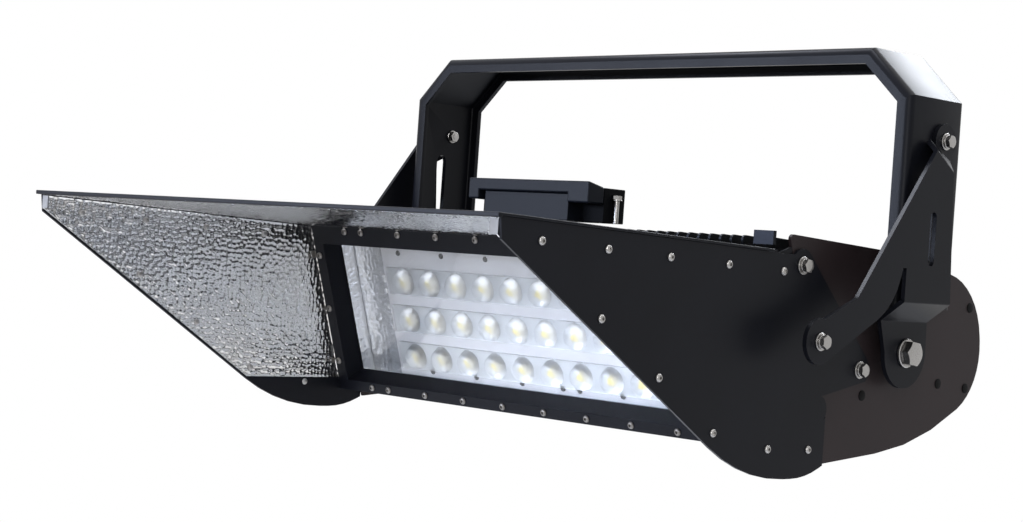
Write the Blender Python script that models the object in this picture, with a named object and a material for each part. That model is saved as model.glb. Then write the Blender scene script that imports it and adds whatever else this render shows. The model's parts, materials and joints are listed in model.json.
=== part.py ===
"""High mast floodlight head: finned LED housing with a hammered glare visor, hung from a U yoke.

Metres. X is the width, -Y the side the light leaves, +Z up. The origin is on the top face of the
yoke's crossbar, halfway along it. Every size is written once below, in millimetres and degrees.
"""
import math

import bmesh
import bpy
from mathutils import Matrix, Vector

for leftover in list(bpy.data.objects):
    bpy.data.objects.remove(leftover, do_unlink=True)

MM = 0.001
GAP = 0.3  # between pieces that touch
THROUGH = 10.0  # how far a cutter runs past the face it cuts
ARC_STEP = 12.0  # degrees between the points of a round stretch

# The lamp's width sets the rest: the yoke and its arms stand off its side plates
LAMP_HALF = 300.0
VISOR_WALL = 2.5
END_WALL = 3.0
YOKE_CLEAR = 17.0

# Yoke: a folded channel, open side inwards, mitred at the two chamfered corners
YOKE_HALF = LAMP_HALF + YOKE_CLEAR
YOKE_DEPTH = 84.0
YOKE_WALL = 5.0
YOKE_LIP = 14.5
YOKE_BEND = 7.0
CHAMFER_X, CHAMFER_Z = 45.0, 42.0
LEG_END = -226.0
SEAT_BOLT_R = 8.75
SEAT_SPACING = 120.0
LEG_SLOT_Y, LEG_SLOT_LOW, LEG_SLOT_HIGH, LEG_SLOT_WIDTH = -4.0, -189.0, -100.0, 13.0

# Arm plates: one folded sheet outside each leg, stepping out at the ear and in again at the tab
ARM_WALL = 4.0
ARM_BEND = 5.0
EAR_STEP = 12.7
JOGGLE = 22.5
EAR_OUTER = YOKE_HALF + GAP + ARM_WALL
MAIN_OUTER = EAR_OUTER + EAR_STEP
TAB_OUTER = MAIN_OUTER - JOGGLE
TAB_INNER = TAB_OUTER - ARM_WALL
EAR_BOLT = (9.0, -78.5)
EAR_R = 15.5
LOCK_EAR = (-170.5, -257.0)
LOCK_EAR_R = 19.0
FOLD_FRONT, FOLD_BACK = (-21.3, -88.3), (5.5, -105.2)
FOLD_RISE, FOLD_SHIFT = 10.0, (5.0, 12.0)
FOLD_HIGH, FOLD_LOW = -221.0, -238.0
LIMB_FRONT, LIMB_BACK = -56.0, 14.0
LIMB_SLIT = 5.0
ARM_SHOULDER, SHOULDER_R = (-123.1, -219.8), 8.0
ARM_CROOK = (-69.8, -224.8, 62.0)
LIMB_SLIT_TOP = -192.0
ARM_SLOT_Y, ARM_SLOT_LOW, ARM_SLOT_HIGH, ARM_SLOT_WIDTH = -20.5, -189.0, -142.0, 9.0
M8_HOLE_R = 4.5

# Pivot
PIVOT = (-16.0, -265.5)
TAB_R = 31.0
PIVOT_R = 7.0
PIVOT_PLAY = 0.4
BOSS_R = 17.0
BOSS_LONG = 22.0
BOLT_SHORT = 4.0  # how far the bolt ends inside its boss
PIVOT_SPACER_R = 12.0
PIVOT_WASHER_R, PIVOT_WASHER_WALL = 14.0, 2.7
PIVOT_HEX_R, PIVOT_HEX_HIGH = 12.7, 9.0

# Lens plane: the front face of the lens frame. Along runs down it from the top screws, out leaves it
LENS_TOP = (-191.6, -192.4)
LENS_TILT = 18.25
ROW_SPACING = 165.1
FRAME_EDGE = 5.8
FRAME_COLUMN, FRAME_TOP_BAR, FRAME_LOW_BAR = 14.5, 20.0, 11.0
FRAME_WALL = 2.5
FRAME_DEEP = 18.0
FRAME_SEAT = 24.4
FRAME_RIM = 6.5  # the rim's depth along the top, where the fins start right behind it
SPLAY_SIDE, SPLAY_TOP, SPLAY_LOW = 4.5, 5.0, 6.5
GASKET_WALL = 2.0
GLASS_WALL = 4.0
GLASS_LAP = 8.0
TRAY_LAP = 12.0
TRAY_DEPTH = 22.0
TRAY_WALL = 2.0
BOARD_WALL = 1.6
BOARD_EDGE = 12.0
BOARD_MARGIN = 1.5
LENS_BASE = 2.0
LENS_R, LENS_HIGH = 12.5, 10.0
LED_PITCH = 38.5
LED_FIRST_ROW, LED_ROW_STEP = 61.5, 39.5
LED_ROWS = [LED_FIRST_ROW + i * LED_ROW_STEP for i in range(3)]
STRIP_HALF_WIDE = 14.0

# Housing
HOUSING_FRONT = 25.0
END_TOP, END_FOOT = -14.3, 187.0
SINK_BASE = 10.0
TRAY_ROOM = 4.0
FIN_PITCH, FIN_WALL = 11.8, 2.2
FIN_TOP = -17.0
SINK_LUG = dict(inset=3.2, wide=20.5, front=-186.5, back=-182.5, low=-181.0, high=-169.5)

# Visor
VISOR_LIP = -513.0
VISOR_REAR = -196.5
VISOR_TOP_Z = -175.5
VISOR_FALL = 1.66
VISOR_SHEET = 2.2
LIP_HEM, LIP_HEM_WALL = 4.0, 3.6
VISOR_OVERHANG = 2.0
SIDE_FRONT = -508.5
VISOR_TOE_Y, VISOR_TOE_Z = SIDE_FRONT + 2.0, -194.5
VISOR_FOOT, VISOR_FOOT_R = (-216.7, -373.0), 187.0
VISOR_HEEL, VISOR_HEEL_R = (-133.0, -373.2), 94.0
VISOR_BACK, VISOR_BACK_LOW, VISOR_BACK_HIGH = -110.0, -363.0, -322.0
VISOR_NECK, VISOR_NECK_R = (-97.0, -311.0), 12.0
LINING_WALL = 1.2
LINING_EDGE = 3.0
LINING_FLANGE = 9.0
LINING_LOW = -343.0
UPPER_BOLT, REAR_BOLT = (-155.7, -196.3), (-66.0, -281.7)
LUG_R = 14.0

# Supply box on the housing
LID_FRONT, LID_BACK, LID_HALF, LID_HIGH, LID_LOW, LID_SLOPE = -183.0, -162.0, 78.0, -133.0, -144.7, 4.6
FLAP_LOW, FLAP_WIDE_LEFT, FLAP_WIDE_RIGHT = -153.0, 14.0, 26.7
BOX_INSET_LEFT, BOX_INSET_RIGHT = 18.0, 29.0
BOX = dict(left=BOX_INSET_LEFT - LID_HALF, right=LID_HALF - BOX_INSET_RIGHT, front=-178.0, back=-134.0,
           low=-169.4, high=LID_LOW - GAP)
BRACKET_HIGH = -138.0


def material(name, rgb, roughness, metallic=0.0):
    made = bpy.data.materials.new(name)
    made.use_nodes = True
    node = made.node_tree.nodes["Principled BSDF"]
    node.inputs["Base Color"].default_value = (*rgb, 1.0)
    node.inputs["Roughness"].default_value = roughness
    node.inputs["Metallic"].default_value = metallic
    return made


COATED = material("black_powder_coat", (0.02, 0.02, 0.022), 0.45)
CAST = material("black_cast_aluminium", (0.03, 0.03, 0.032), 0.5, 0.6)
STEEL = material("stainless_steel", (0.6, 0.6, 0.6), 0.3, 1.0)
HAMMERED = material("hammered_aluminium", (0.75, 0.75, 0.76), 0.25, 1.0)
BOARD = material("white_board", (0.8, 0.8, 0.8), 0.5)
CLEAR = material("toughened_glass", (0.9, 0.95, 0.95), 0.05)
LENS = material("clear_acrylic", (0.9, 0.92, 0.9), 0.08)
RUBBER = material("black_rubber", (0.02, 0.02, 0.02), 0.8)
PLASTIC = material("grey_plastic", (0.2, 0.22, 0.26), 0.5)


def axis_empty(name, place, tilt=0.0, parent=None):
    """An empty at (y, z) on the middle plane, tilted about X. Its children are modelled from it."""
    made = bpy.data.objects.new(name, None)
    bpy.context.scene.collection.objects.link(made)
    made.location = (0, place[0] * MM, place[1] * MM)
    made.rotation_euler = (math.radians(tilt), 0, 0)
    if parent:
        made.parent = parent
        made.location -= parent.location
    return made


LAMP = axis_empty("lamp_tilt_axis", PIVOT)
LENS_AXES = axis_empty("lens_axes", LENS_TOP, 90 + LENS_TILT, LAMP)


def finish(name, mesh, look, parent=None, round_piece=False):
    """An object from the mesh. Lens pieces are in the lens axes, all others in the frame's own."""
    made = bpy.data.objects.new(name, mesh)
    bpy.context.scene.collection.objects.link(made)
    mesh.materials.append(look)
    if round_piece:
        mesh.shade_smooth()
        mesh.set_sharp_from_angle(angle=math.radians(30))
    if parent:
        made.parent = parent
        if parent is LAMP:
            made.matrix_parent_inverse = Matrix.Translation(-parent.location)
    return made


def solid(name, sheet, look, parent=None, round_piece=False):
    bmesh.ops.recalc_face_normals(sheet, faces=sheet.faces)
    mesh = bpy.data.meshes.new(name)
    sheet.to_mesh(mesh)
    sheet.free()
    return finish(name, mesh, look, parent, round_piece)


def spread(axis, a, b, t):
    """The point with t along the axis and a, b along the other two, in metres."""
    order = {"X": (t, a, b), "Y": (a, t, b), "Z": (a, b, t)}[axis]
    return Vector(order) * MM


def extrude(sheet, points, way):
    face = sheet.faces.new([sheet.verts.new(p) for p in points])
    grown = bmesh.ops.extrude_face_region(sheet, geom=[face])
    moved = [g for g in grown["geom"] if isinstance(g, bmesh.types.BMVert)]
    bmesh.ops.translate(sheet, verts=moved, vec=way)


def prism(name, outline, axis, start, end, look=COATED, parent=None, round_piece=False):
    """The outline, in the two axes other than `axis`, run from start to end along it."""
    sheet = bmesh.new()
    extrude(sheet, [spread(axis, a, b, start) for a, b in outline], spread(axis, 0, 0, end - start))
    return solid(name, sheet, look, parent, round_piece)


def rectangle(a0, a1, b0, b1):
    return [(a0, b0), (a1, b0), (a1, b1), (a0, b1)]


def arc(centre, radius, start, sweep, step=ARC_STEP):
    """Points round part of a circle, both ends included, or round all of it."""
    whole = abs(sweep) >= 360
    count = max(2, round(abs(sweep) / step))
    angles = [math.radians(start + sweep * i / count) for i in range(count + (not whole))]
    return [(centre[0] + radius * math.cos(a), centre[1] + radius * math.sin(a)) for a in angles]


def disc(centre, radius):
    return arc(centre, radius, 0, 360)


def rounded(corners, step=ARC_STEP):
    """The outline through (a, b, radius) corners, each rounded by an arc where its radius isn't 0."""
    outline = []
    for i, (a, b, radius) in enumerate(corners):
        here = Vector((a, b))
        if not radius:
            outline.append((a, b))
            continue
        before = (Vector(corners[i - 1][:2]) - here).normalized()
        after = (Vector(corners[(i + 1) % len(corners)][:2]) - here).normalized()
        half = before.angle(after) / 2
        centre = here + (before + after).normalized() * radius / math.sin(half)
        start = here + before * radius / math.tan(half) - centre
        end = here + after * radius / math.tan(half) - centre
        turn = math.degrees(math.atan2(start.x * end.y - start.y * end.x, start.dot(end)))
        outline += arc(centre, radius, math.degrees(math.atan2(start.y, start.x)), turn, step)
    return outline


def slot(centre, low, high, width):
    """A slot with round ends, standing on the second axis."""
    r = width / 2
    return arc((centre, high - r), r, 0, 180, 30) + arc((centre, low + r), r, 180, 180, 30)


def boolean(made, other, operation="DIFFERENCE"):
    other.hide_render = True
    other.display_type = "WIRE"
    step = made.modifiers.new(operation.title(), "BOOLEAN")
    step.operation = operation
    step.solver = "EXACT"
    step.object = other
    return made


def drill(made, centre, radius, start, end, axis="X"):
    cutter = prism(made.name + "_hole", disc(centre, radius), axis, start, end, COATED, made.parent, True)
    boolean(made, cutter)


def mirrored(outline):
    return [(-a, b) for a, b in reversed(outline)]


def lens_section(along, out):
    """(y, z) in the frame's own axes of a point on the lens plane's middle line, moved out from it."""
    s, c = math.sin(math.radians(LENS_TILT)), math.cos(math.radians(LENS_TILT))
    return (LENS_TOP[0] + along * s - out * c, LENS_TOP[1] - along * c - out * s)


def lens_y(z, out=0.0):
    """The lens plane's y at a height, for the plane moved out from it."""
    s, c = math.sin(math.radians(LENS_TILT)), math.cos(math.radians(LENS_TILT))
    return LENS_TOP[0] + (LENS_TOP[1] - z - out * s) * s / c - out * c


def lens_slab(name, half, high, low, back, front, look=COATED):
    """A rectangular plate in the lens axes: across X, between two distances along, between two out."""
    return prism(name, rectangle(-half, half, -low, -high), "Z", back, front, look, LENS_AXES)


def lens_ring(name, loops, look):
    """A rectangular ring in the lens axes: (half width, high, low, out) for each edge of its section."""
    sheet = bmesh.new()
    rows = []
    for half, high, low, out in loops:
        corners = rectangle(-half, half, -low, -high)
        rows.append([sheet.verts.new(spread("Z", x, v, out)) for x, v in corners])
    for before, after in zip(rows, rows[1:] + rows[:1]):
        for k in range(4):
            sheet.faces.new((before[k], before[k - 1], after[k - 1], after[k]))
    return solid(name, sheet, look, LENS_AXES)


# Yoke ------------------------------------------------------------------------------------------
def swept(name, path, section, look):
    """A closed section (inwards, y) carried along a path in XZ and mitred at each of its corners."""
    sheet = bmesh.new()
    loops = []
    for i, (x, z) in enumerate(path):
        ways = []
        for a, b in ((i - 1, i), (i, i + 1)):
            if a >= 0 and b < len(path):
                along = Vector(path[b]) - Vector(path[a])
                ways.append(Vector((along.y, -along.x)).normalized())
        inwards = sum(ways, Vector((0, 0))) / len(ways)
        inwards /= inwards.length_squared
        ring = [spread("Y", x + n * inwards.x, z + n * inwards.y, y) for n, y in section]
        loops.append([sheet.verts.new(point) for point in ring])
    for before, after in zip(loops, loops[1:]):
        for k in range(len(section)):
            sheet.faces.new((before[k - 1], before[k], after[k], after[k - 1]))
    sheet.faces.new(loops[0])
    sheet.faces.new(loops[-1])
    return solid(name, sheet, look, round_piece=True)


def channel_section():
    """Half the channel from its lip round the bend to the middle, outside then inside, and mirrored."""
    bend = (YOKE_BEND, -YOKE_DEPTH / 2 + YOKE_BEND)
    outside = [(YOKE_LIP, -YOKE_DEPTH / 2)] + arc(bend, YOKE_BEND, 270, -90, 22.5)
    inside = arc(bend, YOKE_BEND - YOKE_WALL, 180, 90, 22.5) + [(YOKE_LIP, -YOKE_DEPTH / 2 + YOKE_WALL)]
    other = [(n, -y) for n, y in reversed(outside)] + [(n, -y) for n, y in reversed(inside)]
    return outside + other + inside


half_path = [(-YOKE_HALF, LEG_END), (-YOKE_HALF, -CHAMFER_Z), (-YOKE_HALF + CHAMFER_X, 0)]
yoke = swept("yoke", half_path + mirrored(half_path), channel_section(), COATED)
for side in (-1, 1):
    drill(yoke, (side * SEAT_SPACING / 2, 0), SEAT_BOLT_R, -YOKE_WALL - THROUGH, THROUGH, "Z")
    web = [side * (YOKE_HALF - YOKE_WALL - 3), side * (YOKE_HALF + 3)]
    drill(yoke, EAR_BOLT, M8_HOLE_R, *web)
    leg_slot = slot(LEG_SLOT_Y, LEG_SLOT_LOW, LEG_SLOT_HIGH, LEG_SLOT_WIDTH)
    boolean(yoke, prism("leg_slot_cutter", leg_slot, "X", *web))


# Arm plates --------------------------------------------------------------------------------------
def arm(name, side):
    """One sheet, laid out as flat faces that meet at the fold lines, bent there and thickened."""
    sheet = bmesh.new()
    bend = sheet.edges.layers.float.new("bevel_weight_edge")
    made = {}

    def corner(x, y, z):
        key = (round(x, 3), round(y, 3), round(z, 3))
        if key not in made:
            made[key] = sheet.verts.new((side * x * MM, y * MM, z * MM))
        return made[key]

    def panel(x, outline):
        return sheet.faces.new([corner(x, y, z) for y, z in outline])

    ear_front = (FOLD_FRONT[0] + FOLD_SHIFT[0], FOLD_FRONT[1] + FOLD_RISE)
    ear_back = (FOLD_BACK[0] + FOLD_SHIFT[1], FOLD_BACK[1] + FOLD_RISE)
    lock_lobe = [(y, z, 0) for y, z in arc(LOCK_EAR, LOCK_EAR_R, 75, 210)]
    slit = [(LIMB_FRONT - LIMB_SLIT, LIMB_SLIT_TOP, 0), (LIMB_FRONT, LIMB_SLIT_TOP, 0)]
    limb = [(LIMB_FRONT, FOLD_HIGH, 0), (LIMB_BACK, FOLD_HIGH, 0)]
    front_edge = [(*FOLD_FRONT, 0), (*ARM_SHOULDER, SHOULDER_R)] + lock_lobe
    main = rounded(front_edge + [ARM_CROOK] + slit + limb + [(*FOLD_BACK, 0)])
    panel(MAIN_OUTER, main)
    panel(TAB_OUTER, [(LIMB_BACK, FOLD_LOW), (LIMB_FRONT, FOLD_LOW)] + arc(PIVOT, TAB_R, 180, 180))
    panel(EAR_OUTER, [ear_back, ear_front] + arc(EAR_BOLT, EAR_R, 195, -215))
    for (x_a, line_a), (x_b, line_b) in (
        ((MAIN_OUTER, [(LIMB_FRONT, FOLD_HIGH), (LIMB_BACK, FOLD_HIGH)]),
         (TAB_OUTER, [(LIMB_FRONT, FOLD_LOW), (LIMB_BACK, FOLD_LOW)])),
        ((MAIN_OUTER, [FOLD_BACK, FOLD_FRONT]), (EAR_OUTER, [ear_back, ear_front])),
    ):
        near = [corner(x_a, y, z) for y, z in line_a]
        far = [corner(x_b, y, z) for y, z in line_b]
        slope = sheet.faces.new((near[0], far[0], far[1], near[1]))
        for edge in slope.edges:
            if len(edge.link_faces) == 2:
                edge[bend] = 1.0
    bmesh.ops.recalc_face_normals(sheet, faces=sheet.faces)
    widest = max(sheet.faces, key=lambda face: face.calc_area())
    if widest.normal.x * side < 0:
        bmesh.ops.reverse_faces(sheet, faces=sheet.faces)
    mesh = bpy.data.meshes.new(name)
    sheet.to_mesh(mesh)
    plate = finish(name, mesh, COATED, round_piece=True)
    bent = plate.modifiers.new("Bends", "BEVEL")
    bent.limit_method = "WEIGHT"
    bent.width = ARM_BEND * MM
    bent.segments = 2
    thick = plate.modifiers.new("Sheet", "SOLIDIFY")
    thick.thickness = ARM_WALL * MM
    thick.offset = -1.0
    thick.use_even_offset = True
    reach = [side * (TAB_INNER - THROUGH), side * (MAIN_OUTER + THROUGH)]
    drill(plate, EAR_BOLT, M8_HOLE_R, *reach)
    drill(plate, LOCK_EAR, M8_HOLE_R, *reach)
    drill(plate, PIVOT, PIVOT_R + PIVOT_PLAY, *reach)
    arm_slot = slot(ARM_SLOT_Y, ARM_SLOT_LOW, ARM_SLOT_HIGH, ARM_SLOT_WIDTH)
    return boolean(plate, prism("arm_slot_cutter", arm_slot, "X", *reach))


# Housing -----------------------------------------------------------------------------------------
END_OUTER = LAMP_HALF - VISOR_WALL - GAP
END_INNER = END_OUTER - END_WALL
lug_outer = END_INNER - SINK_LUG["inset"]
lug_inner = lug_outer - SINK_LUG["wide"]
FRONT_HIGH = lens_section(END_TOP, -HOUSING_FRONT)
FRONT_LOW = lens_section(END_FOOT, -HOUSING_FRONT)
END_CORNERS = [(*FRONT_HIGH, 4.0), (-32.0, -177.8, 32.0), (116.6, -201.3, 66.5), (131.9, -295.3, 60.3),
               (35.8, -348.4, 318.0), (*FRONT_LOW, 0)]
FIN_FRONT_HIGH = lens_section(FIN_TOP, -FRAME_RIM - 2 * GAP)
FIN_FRONT_LOW = lens_section(ROW_SPACING, -HOUSING_FRONT)
FIN_CORNERS = [(*FIN_FRONT_HIGH, 4.0), (-32.0, -181.5, 32.0), (113.0, -205.5, 62.0),
               (127.0, -292.0, 56.0), (35.0, -338.0, 250.0), (*FIN_FRONT_LOW, 0)]

# How far behind the lens plane each layer starts, from the frame's inner walls to the sink's back
glass_back = FRAME_DEEP + GAP + GASKET_WALL + GAP + GLASS_WALL
tray_front = glass_back + GAP
tray_back = tray_front + TRAY_DEPTH
base_front = tray_back + GAP
base_back = base_front + SINK_BASE
frame_half = END_OUTER
opening_half = frame_half - FRAME_COLUMN
frame_high, frame_low = -FRAME_EDGE, ROW_SPACING + FRAME_EDGE
opening_high, opening_low = frame_high + FRAME_TOP_BAR, frame_low - FRAME_LOW_BAR
throat_half = opening_half - SPLAY_SIDE
throat_high, throat_low = opening_high + SPLAY_TOP, opening_low - SPLAY_LOW
glass_half = throat_half + GLASS_LAP
glass_high, glass_low = throat_high - GLASS_LAP, throat_low + GLASS_LAP
tray_half = throat_half + TRAY_LAP
tray_high, tray_low = throat_high - TRAY_LAP, throat_low + TRAY_LAP


def fins():
    """Every fin of the housing as one helper mesh, spread evenly between the end plates."""
    sheet = bmesh.new()
    outline = rounded(FIN_CORNERS, 18)
    room = END_INNER - GAP - FIN_WALL - 6.0
    count = 2 * int(room / FIN_PITCH) + 1
    for i in range(count):
        x = (i - (count - 1) / 2) * FIN_PITCH - FIN_WALL / 2
        extrude(sheet, [spread("X", y, z, x) for y, z in outline], spread("X", 0, 0, FIN_WALL))
    return solid("fin_helper", sheet, CAST, LAMP)


arm("arm_plate_left", -1)
arm("arm_plate_right", 1)
for side, hand in ((-1, "left"), (1, "right")):
    end_faces = side * END_INNER, side * END_OUTER
    plate = prism("end_plate_" + hand, rounded(END_CORNERS, 9), "X", *end_faces, COATED, LAMP)
    drill(plate, PIVOT, PIVOT_R + GAP, side * (END_INNER - THROUGH), side * (END_OUTER + THROUGH))
    boss_end = END_INNER - GAP
    boss_faces = side * (boss_end - BOSS_LONG), side * boss_end
    boss = prism("pivot_boss_" + hand, disc(PIVOT, BOSS_R), "X", *boss_faces, CAST, LAMP, True)
    drill(boss, PIVOT, PIVOT_R + GAP, side * (boss_end - BOSS_LONG - THROUGH), side * (boss_end + THROUGH))
    spacer_faces = side * (END_OUTER + GAP), side * (TAB_INNER - GAP)
    spacer = prism("pivot_spacer_" + hand, disc(PIVOT, PIVOT_SPACER_R), "X", *spacer_faces, STEEL, LAMP, True)
    drill(spacer, PIVOT, PIVOT_R + GAP, side * END_INNER, side * (TAB_INNER + THROUGH))
    washer_start = TAB_OUTER + GAP
    washer_end = washer_start + PIVOT_WASHER_WALL
    shank = side * (boss_end - BOSS_LONG + BOLT_SHORT), side * (washer_end + GAP)
    bolt = prism("pivot_bolt_" + hand, disc(PIVOT, PIVOT_R), "X", *shank, STEEL, LAMP, True)
    washer_faces = side * washer_start, side * washer_end
    washer = prism("washer_helper", disc(PIVOT, PIVOT_WASHER_R), "X", *washer_faces, STEEL, None, True)
    boolean(bolt, washer, "UNION")
    hex_faces = side * (washer_end - GAP), side * (washer_end - GAP + PIVOT_HEX_HIGH)
    hexagon = prism("hex_helper", arc(PIVOT, PIVOT_HEX_R, 30, 360, 60), "X", *hex_faces, STEEL)
    boolean(bolt, hexagon, "UNION")
    lug_outline = rectangle(SINK_LUG["front"], SINK_LUG["back"], SINK_LUG["low"], SINK_LUG["high"])
    prism("sink_lug_" + hand, lug_outline, "X", side * lug_inner, side * lug_outer, CAST, LAMP)

sink = lens_slab("heat_sink", END_INNER - GAP, tray_high, tray_low, -base_back, -base_front, CAST)
sink_fins = fins()
tray_space = tray_high - TRAY_ROOM, 2 * ROW_SPACING, -base_front - 1, THROUGH
boolean(sink_fins, lens_slab("tray_room", LAMP_HALF, *tray_space))
boolean(sink, sink_fins, "UNION")
for side in (-1, 1):
    boss_space = side * (END_INNER - BOSS_LONG - 2 * GAP), side * END_OUTER
    boolean(sink, prism("boss_room", disc(PIVOT, BOSS_R + GAP), "X", *boss_space, CAST, LAMP, True))
    lug_space = rectangle(SINK_LUG["front"] - THROUGH, SINK_LUG["back"] + GAP,
                          SINK_LUG["low"] - GAP, SINK_LUG["high"] + THROUGH)
    lug_ends = side * (lug_inner - GAP), side * (lug_outer + GAP)
    boolean(sink, prism("lug_room", lug_space, "X", *lug_ends, CAST, LAMP))

# Lens frame, glass, tray and the LED board with its lens strips ------------------------------------
lens_frame = lens_ring("lens_frame", [
    (frame_half, frame_high, frame_low, -FRAME_SEAT),
    (frame_half, frame_high, frame_low, 0),
    (opening_half, opening_high, opening_low, 0),
    (throat_half, throat_high, throat_low, -FRAME_DEEP),
    (throat_half + FRAME_WALL, throat_high - FRAME_WALL, throat_low + FRAME_WALL, -FRAME_DEEP),
    (opening_half + FRAME_WALL, opening_high - FRAME_WALL, opening_low + FRAME_WALL, -FRAME_WALL),
    (frame_half - FRAME_WALL, frame_high + FRAME_WALL, frame_low - FRAME_WALL, -FRAME_WALL),
    (frame_half - FRAME_WALL, frame_high + FRAME_WALL, frame_low - FRAME_WALL, -FRAME_SEAT),
], COATED)
rim_cut = frame_high - THROUGH, frame_high + FRAME_WALL + GAP, -FRAME_SEAT - THROUGH, -FRAME_RIM
boolean(lens_frame, lens_slab("rim_cutter", LAMP_HALF + THROUGH, *rim_cut))
gasket_front = -FRAME_DEEP - GAP
lens_ring("glass_gasket", [
    (glass_half, glass_high, glass_low, gasket_front - GASKET_WALL),
    (glass_half, glass_high, glass_low, gasket_front),
    (throat_half + GAP, throat_high - GAP, throat_low + GAP, gasket_front),
    (throat_half + GAP, throat_high - GAP, throat_low + GAP, gasket_front - GASKET_WALL),
], RUBBER)
lens_slab("front_glass", glass_half, glass_high, glass_low, -glass_back, GLASS_WALL - glass_back, CLEAR)


def tray():
    """A folded tray, open to the front: five faces thickened inwards."""
    sheet = bmesh.new()
    rims = []
    for out in (-tray_back, -tray_front):
        corners = rectangle(-tray_half, tray_half, -tray_low, -tray_high)
        rims.append([sheet.verts.new(spread("Z", x, v, out)) for x, v in corners])
    sheet.faces.new(reversed(rims[0]))
    for k in range(4):
        sheet.faces.new((rims[0][k - 1], rims[0][k], rims[1][k], rims[1][k - 1]))
    mesh = bpy.data.meshes.new("light_tray")
    sheet.to_mesh(mesh)
    made = finish("light_tray", mesh, HAMMERED, LENS_AXES)
    walls = made.modifiers.new("Walls", "SOLIDIFY")
    walls.thickness = TRAY_WALL * MM
    walls.offset = -1.0
    walls.use_even_offset = True
    return made


def lens_strip(name, along, half, back):
    """One clear moulding: a flat strip with a dome over each LED of the row."""
    edges = along - STRIP_HALF_WIDE, along + STRIP_HALF_WIDE
    strip = lens_slab(name, half, *edges, back, back + LENS_BASE, LENS)
    domes = bmesh.new()
    for i in range(LED_COLUMNS):
        x = (i - (LED_COLUMNS - 1) / 2) * LED_PITCH
        place = Matrix.Translation(spread("Z", x, -along, back + LENS_BASE / 2))
        place @= Matrix.Diagonal((LENS_R, LENS_R, LENS_HIGH, 1 / MM)) * MM
        bmesh.ops.create_uvsphere(domes, u_segments=12, v_segments=6, radius=1.0, matrix=place)
    helper = solid(name + "_domes", domes, LENS, LENS_AXES, True)
    boolean(helper, lens_slab(name + "_under", LAMP_HALF, 0, 2 * ROW_SPACING, -2 * tray_back, back + GAP))
    return boolean(strip, helper, "UNION")


tray()
floor = TRAY_WALL - tray_back + GAP
LED_COLUMNS = int(2 * (throat_half - BOARD_EDGE) / LED_PITCH) - 1
board_half = LED_PITCH * LED_COLUMNS / 2 + BOARD_EDGE
board_high, board_low = tray_high + TRAY_WALL + BOARD_MARGIN, tray_low - TRAY_WALL - BOARD_MARGIN
lens_slab("led_board", board_half, board_high, board_low, floor, floor + BOARD_WALL, BOARD)
for number, along in enumerate(LED_ROWS, 1):
    lens_strip("lens_row_%d" % number, along, board_half - BOARD_EDGE / 2, floor + BOARD_WALL + GAP)

# Visor ---------------------------------------------------------------------------------------------
plate_inner = LAMP_HALF - VISOR_WALL


def visor_z(y, under=0.0):
    """Height of the visor's top face, or of a face this far under it."""
    return VISOR_TOP_Z - (y - VISOR_LIP) * math.tan(math.radians(VISOR_FALL)) - under


plate_under = VISOR_SHEET + GAP
side_outline = rounded([
    (SIDE_FRONT, visor_z(SIDE_FRONT, plate_under), 0),
    (VISOR_TOE_Y, VISOR_TOE_Z, 0),
    (*VISOR_FOOT, VISOR_FOOT_R),
    (*VISOR_HEEL, VISOR_HEEL_R),
    (VISOR_BACK, VISOR_BACK_LOW, 0),
    (VISOR_BACK, VISOR_BACK_HIGH, 0),
    (*VISOR_NECK, VISOR_NECK_R),
], 6)
side_outline += arc(REAR_BOLT, LUG_R, -46, 92, 23) + arc(UPPER_BOLT, LUG_R, 46, 95, 19)
lobe_front = UPPER_BOLT[0] - LUG_R - 3.0
side_outline += [(lobe_front, visor_z(lobe_front, plate_under))]

diagonal = (VISOR_FOOT[1] - VISOR_TOE_Z) / (VISOR_FOOT[0] - VISOR_TOE_Y)
side_under = plate_under + LINING_WALL + 2 * GAP
lining_high = visor_z(VISOR_REAR, side_under)


def lining_toe(z):
    """Where a side lining's slanting edge passes a height, inside the plate's own slanting edge."""
    return (VISOR_TOE_Y + (z - VISOR_TOE_Z) / diagonal + LINING_EDGE, z)


lining_front = SIDE_FRONT + GAP
lining_front_high = visor_z(lining_front, side_under)
side_lining = [(lining_front, lining_front_high),
               (lining_front, VISOR_TOE_Z + LINING_EDGE), lining_toe(LINING_LOW),
               (lens_y(LINING_LOW, GAP), LINING_LOW), (lens_y(lining_high, GAP), lining_high)]
for side, hand in ((-1, "left"), (1, "right")):
    prism("visor_side_" + hand, side_outline, "X", side * plate_inner, side * LAMP_HALF, COATED, LAMP)
    face = side * (plate_inner - GAP)
    lining = prism("side_lining_" + hand, side_lining, "X", face - side * LINING_WALL, face, HAMMERED, LAMP)
    flange = rectangle(lining_front, lining_front + LINING_WALL, VISOR_TOE_Z + LINING_EDGE, lining_front_high)
    flange_end = side * (plate_inner - LINING_FLANGE)
    boolean(lining, prism("flange_helper", flange, "X", flange_end, face, HAMMERED, LAMP), "UNION")
top_outline = [(VISOR_LIP, visor_z(VISOR_LIP)), (VISOR_LIP, visor_z(VISOR_LIP, LIP_HEM_WALL)),
               (VISOR_LIP + LIP_HEM, visor_z(VISOR_LIP + LIP_HEM, LIP_HEM_WALL)),
               (VISOR_LIP + LIP_HEM, visor_z(VISOR_LIP + LIP_HEM, VISOR_SHEET)),
               (VISOR_REAR, visor_z(VISOR_REAR, VISOR_SHEET)), (VISOR_REAR, visor_z(VISOR_REAR))]
top_half = LAMP_HALF + VISOR_OVERHANG
prism("visor_top", top_outline, "X", -top_half, top_half, COATED, LAMP)
top_lining = [(y, visor_z(y, under)) for y, under in (
    (lining_front, plate_under), (VISOR_REAR, plate_under),
    (VISOR_REAR, plate_under + LINING_WALL), (lining_front, plate_under + LINING_WALL))]
prism("top_lining", top_lining, "X", GAP - plate_inner, plate_inner - GAP, HAMMERED, LAMP)

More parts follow.
